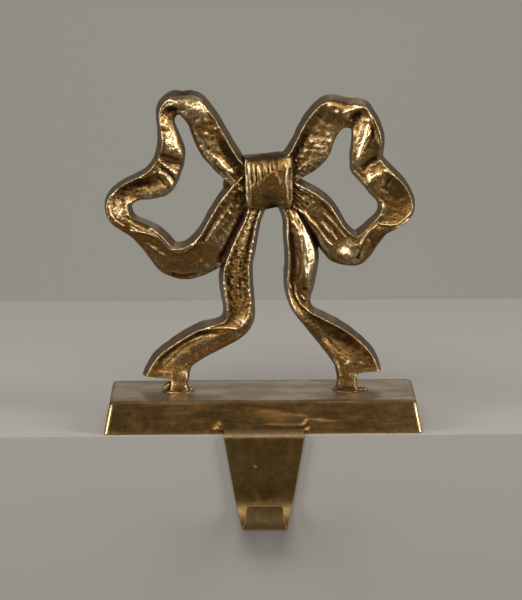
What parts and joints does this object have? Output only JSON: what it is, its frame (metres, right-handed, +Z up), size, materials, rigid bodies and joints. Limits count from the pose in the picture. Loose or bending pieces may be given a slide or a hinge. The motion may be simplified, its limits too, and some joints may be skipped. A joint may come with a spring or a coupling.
{
  "type": "mantel stocking holder",
  "caption": "Cast brass ribbon bow on a heavy block that stands on a mantel shelf, with a tapered strap bent over the shelf's edge into a stocking hook.",
  "frame": {"origin": "centre of the block's underside, on the mantel shelf", "axes": "+Z up, -Y towards the room (the hook's side), +X to the right seen from the room"},
  "size_m": [0.1398, 0.0694, 0.1874],
  "materials": {
    "antique_cast_brass": "satin",
    "antique_block_brass": "satin",
    "antique_strip_brass": "satin"
  },
  "bodies": {
    "root": {"base_block": "antique_block_brass", "stocking_hook": "antique_strip_brass", "bow": "antique_cast_brass"}
  },
  "joints": []
}
